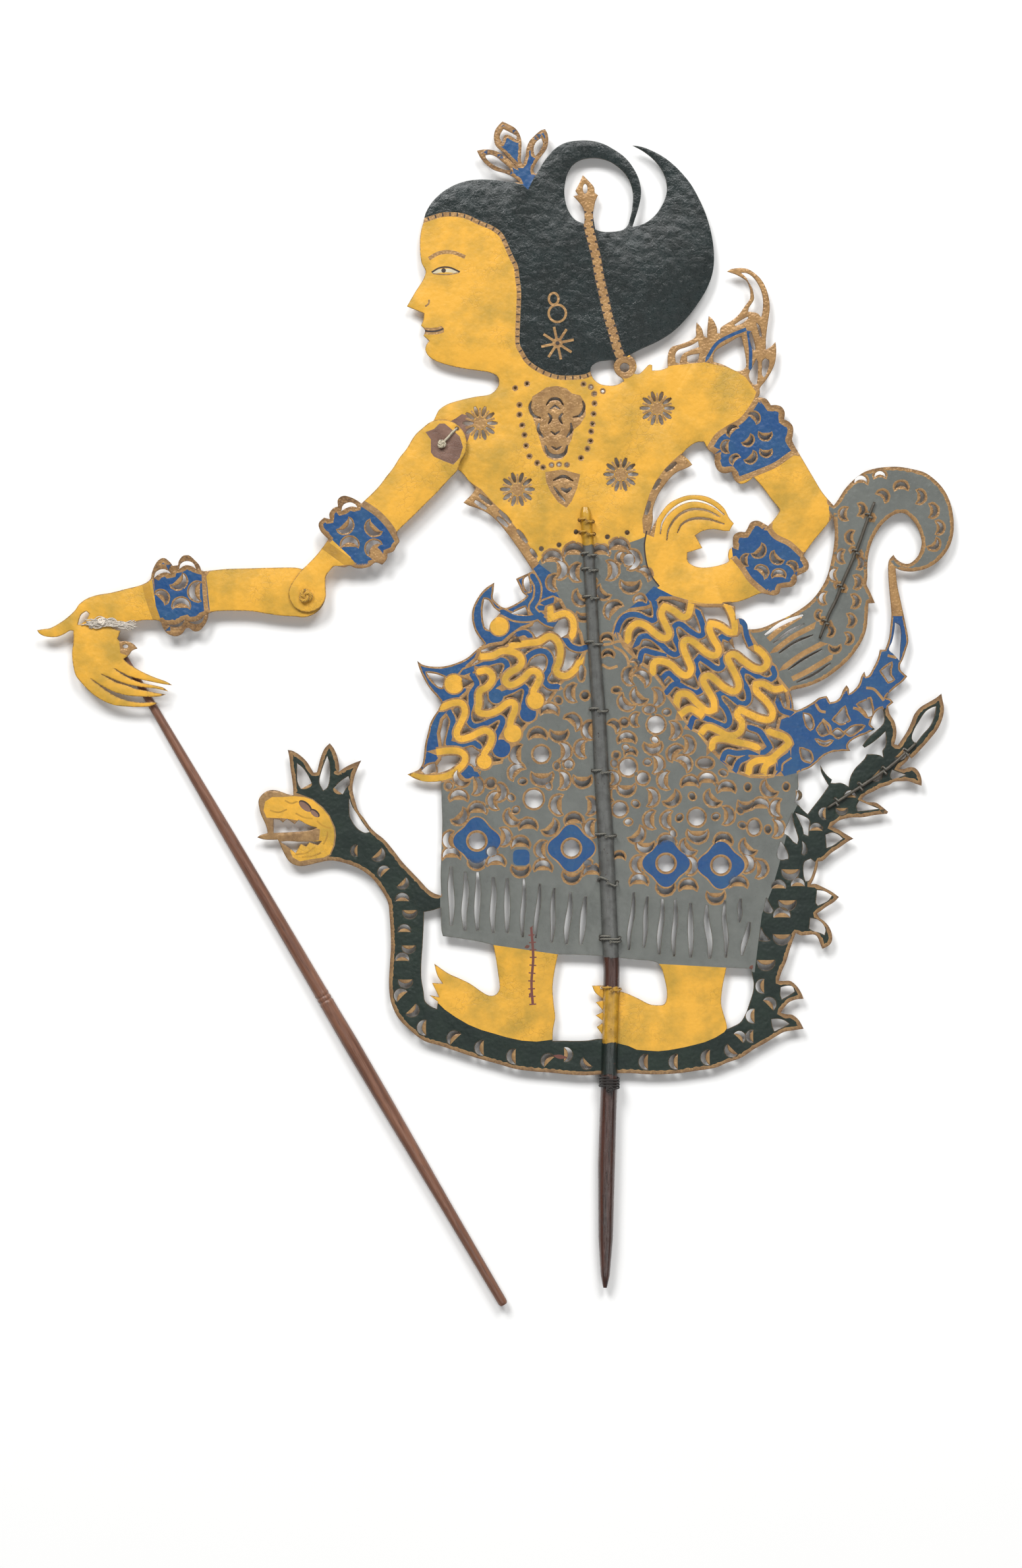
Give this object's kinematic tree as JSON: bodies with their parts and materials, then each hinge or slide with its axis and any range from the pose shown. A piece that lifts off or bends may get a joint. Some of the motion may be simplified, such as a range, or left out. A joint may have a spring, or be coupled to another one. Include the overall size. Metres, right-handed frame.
{
  "type": "shadow puppet",
  "caption": "Flat pierced and painted leather shadow puppet of a standing woman on a crowned serpent, with a jointed front arm, a split main rod with a pointed handle and an arm rod.",
  "frame": {"origin": "on the flat rear face of the main rod, where the puppet rests when it lies face up, just above the serpent's belly", "axes": "+X to the viewer's right when the painted front is seen, +Y along the main rod to the head, +Z out of the painted front"},
  "size_m": [0.4296, 0.5558, 0.0121],
  "materials": {
    "painted_hide": "satin paint in mustard gold, blue, grey and green black over hide",
    "gilded_hide": "satin mustard gold paint over hide",
    "dark_rod": "polished dark brown",
    "red_brown_wood": "oiled red brown wood",
    "dark_thread": "dark twisted thread",
    "thread": "dull twisted thread",
    "cord": "pale knotted cord",
    "splint": "dull brown splint"
  },
  "bodies": {
    "figure": {"body_hide": "painted_hide", "main_rod": "dark_rod", "handle_binding": "dark_thread", "rod_tie_01": "thread", "rod_tie_02": "thread", "rod_tie_03": "thread", "rod_tie_04": "thread", "rod_tie_05": "thread", "rod_tie_06": "thread", "rod_tie_07": "thread", "rod_tie_08": "thread", "rod_tie_09": "thread", "rod_tie_10": "thread", "rod_tie_11": "thread", "rod_tie_12": "thread", "shoulder_cord": "cord", "tail_splint": "splint", "tail_stitch_1": "thread", "tail_stitch_2": "thread", "tail_stitch_3": "thread", "tail_stitch_4": "thread", "serpent_splint": "splint", "serpent_stitch_1": "thread", "serpent_stitch_2": "thread", "serpent_stitch_3": "thread", "serpent_stitch_4": "thread"},
    "upper_arm": {"upper_arm_hide": "gilded_hide", "elbow_cord": "cord"},
    "forearm": {"forearm_hide": "gilded_hide"},
    "arm_rod": {"arm_rod": "red_brown_wood", "hand_tie": "cord"}
  },
  "joints": [
    {"name": "shoulder", "type": "hinge", "parent": "figure", "child": "upper_arm", "pos_m": [-0.0784, 0.2923, 0.0073], "axis": [0, 0, 1], "range_deg": [-60, 2]},
    {"name": "elbow", "type": "hinge", "parent": "upper_arm", "child": "forearm", "pos_m": [-0.142, 0.2213, 0.0073], "axis": [0, 0, 1], "range_deg": [-75, 2]},
    {"name": "hand_rod", "type": "hinge", "parent": "forearm", "child": "arm_rod", "pos_m": [-0.2375, 0.2095, 0.0059], "axis": [0, 0, 1], "range_deg": [-90, 1]}
  ]
}
